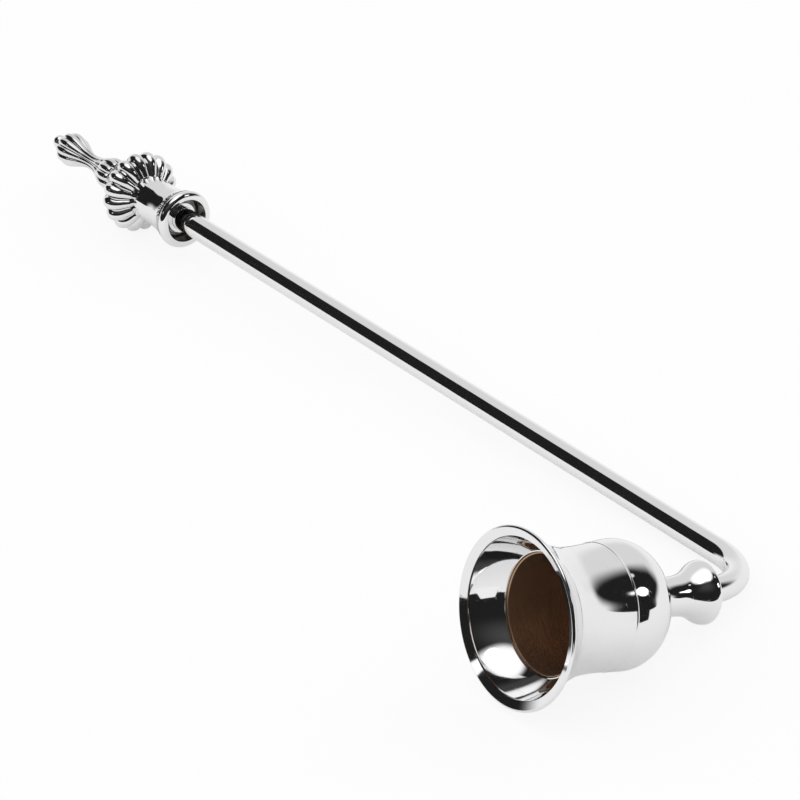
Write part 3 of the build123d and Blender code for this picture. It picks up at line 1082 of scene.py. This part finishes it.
def material(name, make):
    """The material of a name, wired by a function when it is first asked for."""
    found = bpy.data.materials.get(name)
    if found:
        return found
    made = bpy.data.materials.new(name)
    made.use_nodes = True
    board = Board(made.node_tree)
    shader = make(board)
    output = board.node("ShaderNodeOutputMaterial")
    board.feed(output.inputs["Surface"], board.out(shader))
    return made


def silver_metal(scene, name="polished silver", grain=SILVER_GRAIN):
    """Polished silver plate: a mirror with a dull film, fine scratches and painted shade in its hollows."""
    finish = scene.snuffer_finish

    def wire(board):
        place = board.out(board.node("ShaderNodeTexCoord"), "Object")
        stretched = board.node("ShaderNodeVectorMath", {"operation": "MULTIPLY"})
        board.feed(stretched.inputs[0], place)
        board.feed(stretched.inputs[1], grain)
        fine = board.noise(board.out(stretched), scale=1, detail=2)
        mark = board.maths("MAXIMUM", (fine - SCRATCH_START) * SCRATCH_GAIN, 0)
        scratch = board.maths("SMOOTH_MIN", 1, mark, SCRATCH_ROUNDING)
        cloud = board.noise(place, scale=SILVER_CLOUDS, detail=4)
        wave = board.noise(place, scale=SILVER_WAVES, detail=1)
        attribute = {"attribute_type": "GEOMETRY", "attribute_name": "hollow"}
        hollow = board.out(board.node("ShaderNodeAttribute", attribute), "Fac") ** HOLLOW_SHARPNESS
        film_and_shade = cloud * CLOUD_FILM + scratch * SCRATCH_FILM
        # Painted shade: where the attribute hollow is high, the colour darkens towards the shade colour.
        film_and_shade = film_and_shade + hollow * (HOLLOW_SHADE + cloud * HOLLOW_CLOUD_SHADE)
        roughness = POLISH_ROUGHNESS + cloud * CLOUD_ROUGHNESS
        roughness = roughness + scratch * SCRATCH_ROUGHNESS + hollow * HOLLOW_ROUGHNESS
        relief = wave + fine * SCRATCH_DEPTH_SHARE
        bump = board.node("ShaderNodeBump", Strength=1, Distance=WAVE_DEPTH, Height=relief)
        return board.node(
            "ShaderNodeBsdfPrincipled",
            Base_Color=board.blend(board.maths("MINIMUM", film_and_shade, 1), finish.silver, finish.shade),
            Metallic=1,
            Roughness=roughness,
            Normal=board.out(bump),
        )

    return material(name, wire)


def turned_silver(scene):
    """The same silver with its scratches round the bell."""
    return silver_metal(scene, "turned silver", TURNED_GRAIN)


def bronze_metal(scene):
    """Brown bronze of the cup, dulled by smoke."""
    finish = scene.snuffer_finish

    def wire(board):
        place = board.out(board.node("ShaderNodeTexCoord"), "Object")
        smoke = board.noise(place, scale=SMOKE_CLOUDS, detail=5)
        soot = board.maths("MAXIMUM", (smoke - SMOKE_START) * SMOKE_GAIN, 0)
        marks = board.node(
            "ShaderNodeTexNoise",
            {"noise_dimensions": "1D"},
            W=board.along(place, BELL_AXIS) * TURNING_MARKS,
            Scale=1,
            Detail=2,
        )
        relief = board.out(marks, "Fac")
        bump = board.node("ShaderNodeBump", Strength=1, Distance=TURNING_DEPTH, Height=relief)
        return board.node(
            "ShaderNodeBsdfPrincipled",
            Base_Color=board.blend(board.maths("MINIMUM", soot, 1), finish.bronze, finish.soot),
            Metallic=BRONZE_METALLIC,
            Roughness=BRONZE_ROUGHNESS + smoke * SMOKE_ROUGHNESS,
            Normal=board.out(bump),
        )

    return material("smoked bronze", wire)


def steel_metal(scene):
    """Plain steel of the screw, the washer and the stud."""
    finish = scene.snuffer_finish

    def wire(board):
        place = board.out(board.node("ShaderNodeTexCoord"), "Object")
        grain = board.noise(place, scale=STEEL_GRAIN, detail=3)
        return board.node(
            "ShaderNodeBsdfPrincipled",
            Base_Color=(*finish.steel, 1),
            Metallic=1,
            Roughness=STEEL_ROUGHNESS + grain * GRAIN_ROUGHNESS,
        )

    return material("plain steel", wire)


def make_stud(scene):
    """The stud inside the handle, which keeps its own mesh."""
    stud = frame["nodes"]["handle_stud"]
    stud.data.materials.clear()
    stud.data.materials.append(steel_metal(scene))


# Camera, with its lens and the width of its picture in millimetres
CAMERA_PLACE = (-1.00281, 0.61308, 0.63033)
CAMERA_TARGET = (-0.00326, -0.02304, 0)
CAMERA_ROLL = radians(-6.016)
CAMERA_LENS = 275.43
CAMERA_WIDTH = 36

# The studio as the metal sees it, in degrees: azimuth is 0 along +Y and 90 along +X. The dark side
# of the room has soft edges, counted from its middle, and low down a pale glow covers its ends.
DARK_MIDDLE = -38
DARK_LEFT = (-150, -122)
DARK_RIGHT = (124, 127)
DARK_TOP = (57, 67)
LOW_GLOW_TOP = (0, 14)
LOW_GLOW_LEFT = (-106, -90)
LOW_GLOW_RIGHT = (90, 104)
# How bright the dark side is, how much brighter it gets with height and towards its middle, how
# bright the backdrop is, and how much it falls and rises with height
DARK_LEVEL = 0.014
DARK_RISE = 0.09
DARK_RISE_HEIGHTS = (20, 60)
DARK_RISE_FRONTS = (0.2, 0.9)
BACKDROP_LEVEL = 0.95
BACKDROP_FALL = 0.17
BACKDROP_FALL_HEIGHTS = (2, 22)
BACKDROP_RISE = 0.5
BACKDROP_RISE_HEIGHTS = (55, 75)
# Each light is an azimuth, an elevation, a radius, a soft edge and a strength.
LIGHTS = (
    (-130, 27, 5.5, 2, 2.5),
    (-86, 72, 8, 2, 0.9),
    (22, 25, 3.5, 1, 1.2),
    (-150, 50, 3, 1, 0.8),
)
# Corners of the floor, and of the dark and the glowing sheet that paint reflections into the metal
FLOOR = ((-3, -3), (3, -3), (3, 3), (-3, 3))
DARK_SHEET = ((-0.2, 3), (-3, 3), (-3, -1.77), (-0.2, -0.02))
DARK_SHEET_HEIGHT = 0.2 * MM
PALE_GLOW_SHEET = ((-0.17, 0.043), (-0.16, 0.066), (-0.408, 0.216), (-0.448, 0.127))
PALE_GLOW_SHEET_HEIGHT = 0.4 * MM
# How much of the floor's own light covers its shadow, for the camera and in the metal
FLOOR_LIGHT_SEEN = 0.85
FLOOR_LIGHT_MIRRORED = 0.3
# Colours of the stage
BLACK = (0.015, 0.015, 0.015, 1)
WHITE = (1, 1, 1, 1)


def make_camera(scene):
    """The camera, at the photo's viewing angle."""
    data = bpy.data.cameras.new("camera")
    data.lens = CAMERA_LENS
    data.sensor_width = CAMERA_WIDTH
    camera = linked("camera", data)
    camera.location = CAMERA_PLACE
    look = (Vector(CAMERA_TARGET) - Vector(CAMERA_PLACE)).to_track_quat("-Z", "Y")
    camera.rotation_mode = "QUATERNION"
    camera.rotation_quaternion = look @ Quaternion((0, 0, 1), CAMERA_ROLL)
    scene.camera = camera


def heading(azimuth, elevation=0):
    """The direction of an azimuth and an elevation in degrees."""
    around, above = radians(azimuth), radians(elevation)
    return Vector((sin(around) * cos(above), cos(around) * cos(above), sin(above)))


def make_world(scene):
    """The studio round the snuffer: white to the eye, with a dark side that the metal reflects."""
    world = bpy.data.worlds.new("studio")
    world.use_nodes = True
    scene.world = world
    board = Board(world.node_tree)
    view = board.out(board.node("ShaderNodeTexCoord"), "Generated")

    def ramped(value, low, high):
        ranged = board.node(
            "ShaderNodeMapRange",
            {"interpolation_type": "SMOOTHSTEP"},
            Value=value,
            From_Min=low,
            From_Max=high,
        )
        return board.out(ranged, "Result")

    degree = pi / 180
    front = board.along(view, heading(DARK_MIDDLE))
    side = board.along(view, heading(DARK_MIDDLE + 90))
    azimuth = board.maths("ARCTAN2", side, front) / degree
    elevation = board.maths("ARCSINE", board.along(view, (0, 0, 1))) / degree
    dark = ramped(azimuth, *DARK_LEFT) * (1 - ramped(azimuth, *DARK_RIGHT))
    aside = 1 - ramped(azimuth, *LOW_GLOW_LEFT) + ramped(azimuth, *LOW_GLOW_RIGHT)
    glow = (1 - ramped(elevation, *LOW_GLOW_TOP)) * aside
    dark = dark * (1 - ramped(elevation, *DARK_TOP)) * (1 - glow)
    rise = ramped(elevation, *DARK_RISE_HEIGHTS) * ramped(front, *DARK_RISE_FRONTS)
    room = DARK_LEVEL + DARK_RISE * rise
    backdrop = BACKDROP_LEVEL - BACKDROP_FALL * ramped(elevation, *BACKDROP_FALL_HEIGHTS)
    backdrop = backdrop + BACKDROP_RISE * ramped(elevation, *BACKDROP_RISE_HEIGHTS)
    level = backdrop + dark * (room - backdrop)
    for around, above, radius, edge, strength in LIGHTS:
        away = board.maths("ARCCOSINE", board.along(view, heading(around, above))) / degree
        level = level + strength * (1 - ramped(away, radius, radius + edge))
    studio = board.node("ShaderNodeBackground", Color=WHITE, Strength=level)
    plain = board.node("ShaderNodeBackground", Color=WHITE, Strength=1)
    mirrored = board.out(board.node("ShaderNodeLightPath"), "Is_Glossy_Ray")
    output = board.node("ShaderNodeOutputWorld")
    board.feed(output.inputs["Surface"], board.out(board.mixed(mirrored, plain, studio)))


def flat_sheet(name, corners, height, paper):
    """A level sheet of the stage."""
    mesh = bpy.data.meshes.new(name)
    mesh.from_pydata([(x, y, height) for x, y in corners], [], [range(len(corners))])
    mesh.materials.append(paper)
    sheet = linked(name, mesh)
    return sheet


def make_floor(scene):
    """The pale floor, which keeps the shadow, and two sheets on it that paint reflections into the metal."""
    finish = scene.snuffer_finish

    def white(board):
        path = board.node("ShaderNodeLightPath")
        seen = board.out(path, "Is_Camera_Ray") * FLOOR_LIGHT_SEEN
        mirrored = board.out(path, "Is_Glossy_Ray") * FLOOR_LIGHT_MIRRORED
        matt = board.node("ShaderNodeBsdfDiffuse", Color=(*finish.floor, 1))
        return board.mixed(board.maths("MAXIMUM", seen, mirrored), matt, lit(board))

    def black(board):
        return board.node("ShaderNodeBsdfDiffuse", Color=BLACK)

    def lit(board):
        return board.node("ShaderNodeEmission", Color=WHITE, Strength=1)

    flat_sheet("floor", FLOOR, 0, material("white paper", white))
    # The black sheet paints a dark reflection and the glowing sheet a pale one; only the metal shows them.
    for name, corners, height, paper in (
        ("dark_sheet", DARK_SHEET, DARK_SHEET_HEIGHT, material("painted dark reflection", black)),
        ("pale_gap", PALE_GLOW_SHEET, PALE_GLOW_SHEET_HEIGHT, material("painted pale reflection", lit)),
    ):
        sheet = flat_sheet(name, corners, height, paper)
        sheet.visible_camera = False
        sheet.visible_diffuse = False
        sheet.visible_shadow = False


def make_stage(scene):
    """The floor, the light and the camera."""
    scene.view_settings.view_transform = "Standard"
    make_camera(scene)
    make_world(scene)
    make_floor(scene)


class SNUFFER_OT_bell(bpy.types.Operator):
    """Makes the bell's shell"""

    bl_idname = "snuffer.bell"
    bl_label = "Bell"

    def execute(self, context):
        make_bell(context.scene)
        return {"FINISHED"}


class SNUFFER_OT_cup(bpy.types.Operator):
    """Makes the cup in the bell with its washer and screw"""

    bl_idname = "snuffer.cup"
    bl_label = "Cup"

    def execute(self, context):
        make_cup(context.scene)
        return {"FINISHED"}


class SNUFFER_OT_neck(bpy.types.Operator):
    """Makes the neck between the rod and the bell"""

    bl_idname = "snuffer.neck"
    bl_label = "Neck"

    def execute(self, context):
        make_neck(context.scene)
        return {"FINISHED"}


class SNUFFER_OT_rod(bpy.types.Operator):
    """Makes the bent rod"""

    bl_idname = "snuffer.rod"
    bl_label = "Rod"

    def execute(self, context):
        make_rod(context.scene)
        return {"FINISHED"}


class SNUFFER_OT_collar(bpy.types.Operator):
    """Makes the handle's collar and its bush"""

    bl_idname = "snuffer.collar"
    bl_label = "Collar"

    def execute(self, context):
        make_collar(context.scene)
        return {"FINISHED"}


class SNUFFER_OT_knob(bpy.types.Operator):
    """Makes the lobed knob"""

    bl_idname = "snuffer.knob"
    bl_label = "Knob"

    def execute(self, context):
        make_knob(context.scene)
        return {"FINISHED"}


class SNUFFER_OT_spindle(bpy.types.Operator):
    """Makes the fluted spindle, the button at its tip and the stud inside"""

    bl_idname = "snuffer.spindle"
    bl_label = "Spindle"

    def execute(self, context):
        make_spindle(context.scene)
        make_button(context.scene)
        make_stud(context.scene)
        return {"FINISHED"}


class SNUFFER_OT_stage(bpy.types.Operator):
    """Makes the floor, the light and the camera"""

    bl_idname = "snuffer.stage"
    bl_label = "Stage"

    def execute(self, context):
        make_stage(context.scene)
        return {"FINISHED"}


OPERATORS = (
    SNUFFER_OT_bell,
    SNUFFER_OT_cup,
    SNUFFER_OT_neck,
    SNUFFER_OT_rod,
    SNUFFER_OT_collar,
    SNUFFER_OT_knob,
    SNUFFER_OT_spindle,
    SNUFFER_OT_stage,
)

SIZES = {
    "snuffer_rod": SnufferRodSizes,
    "snuffer_neck": SnufferNeckSizes,
    "snuffer_bell": SnufferBellSizes,
    "snuffer_cup": SnufferCupSizes,
    "snuffer_collar": SnufferCollarSizes,
    "snuffer_knob": SnufferKnobSizes,
    "snuffer_spindle": SnufferSpindleSizes,
    "snuffer_finish": SnufferFinish,
}


class SNUFFER_PT_sidebar(bpy.types.Panel):
    """Lists the snuffer's sizes and colours, and makes its pieces"""

    bl_idname = "SNUFFER_PT_sidebar"
    bl_label = "Candle snuffer"
    bl_space_type = "VIEW_3D"
    bl_region_type = "UI"
    bl_category = "Snuffer"

    def draw(self, context):
        for operator in OPERATORS:
            self.layout.operator(operator.bl_idname)
        for name, sizes in SIZES.items():
            box = self.layout.box()
            box.label(text=sizes.__doc__)
            for prop in sizes.__annotations__:
                box.prop(getattr(context.scene, name), prop)


def register():
    """Adds the sizes, the operators and the panel."""
    for name, sizes in SIZES.items():
        bpy.utils.register_class(sizes)
        setattr(bpy.types.Scene, name, PointerProperty(type=sizes))
    for made in (*OPERATORS, SNUFFER_PT_sidebar):
        bpy.utils.register_class(made)


def unregister():
    """Takes them away again."""
    for made in (SNUFFER_PT_sidebar, *reversed(OPERATORS)):
        bpy.utils.unregister_class(made)
    for name, sizes in SIZES.items():
        delattr(bpy.types.Scene, name)
        bpy.utils.unregister_class(sizes)


def main():
    """Builds the snuffer and its stage."""
    register()
    bpy.ops.snuffer.stage()
    bpy.ops.snuffer.bell()
    bpy.ops.snuffer.cup()
    bpy.ops.snuffer.neck()
    bpy.ops.snuffer.rod()
    bpy.ops.snuffer.collar()
    bpy.ops.snuffer.knob()
    bpy.ops.snuffer.spindle()


if __name__ == "__main__":
    main()
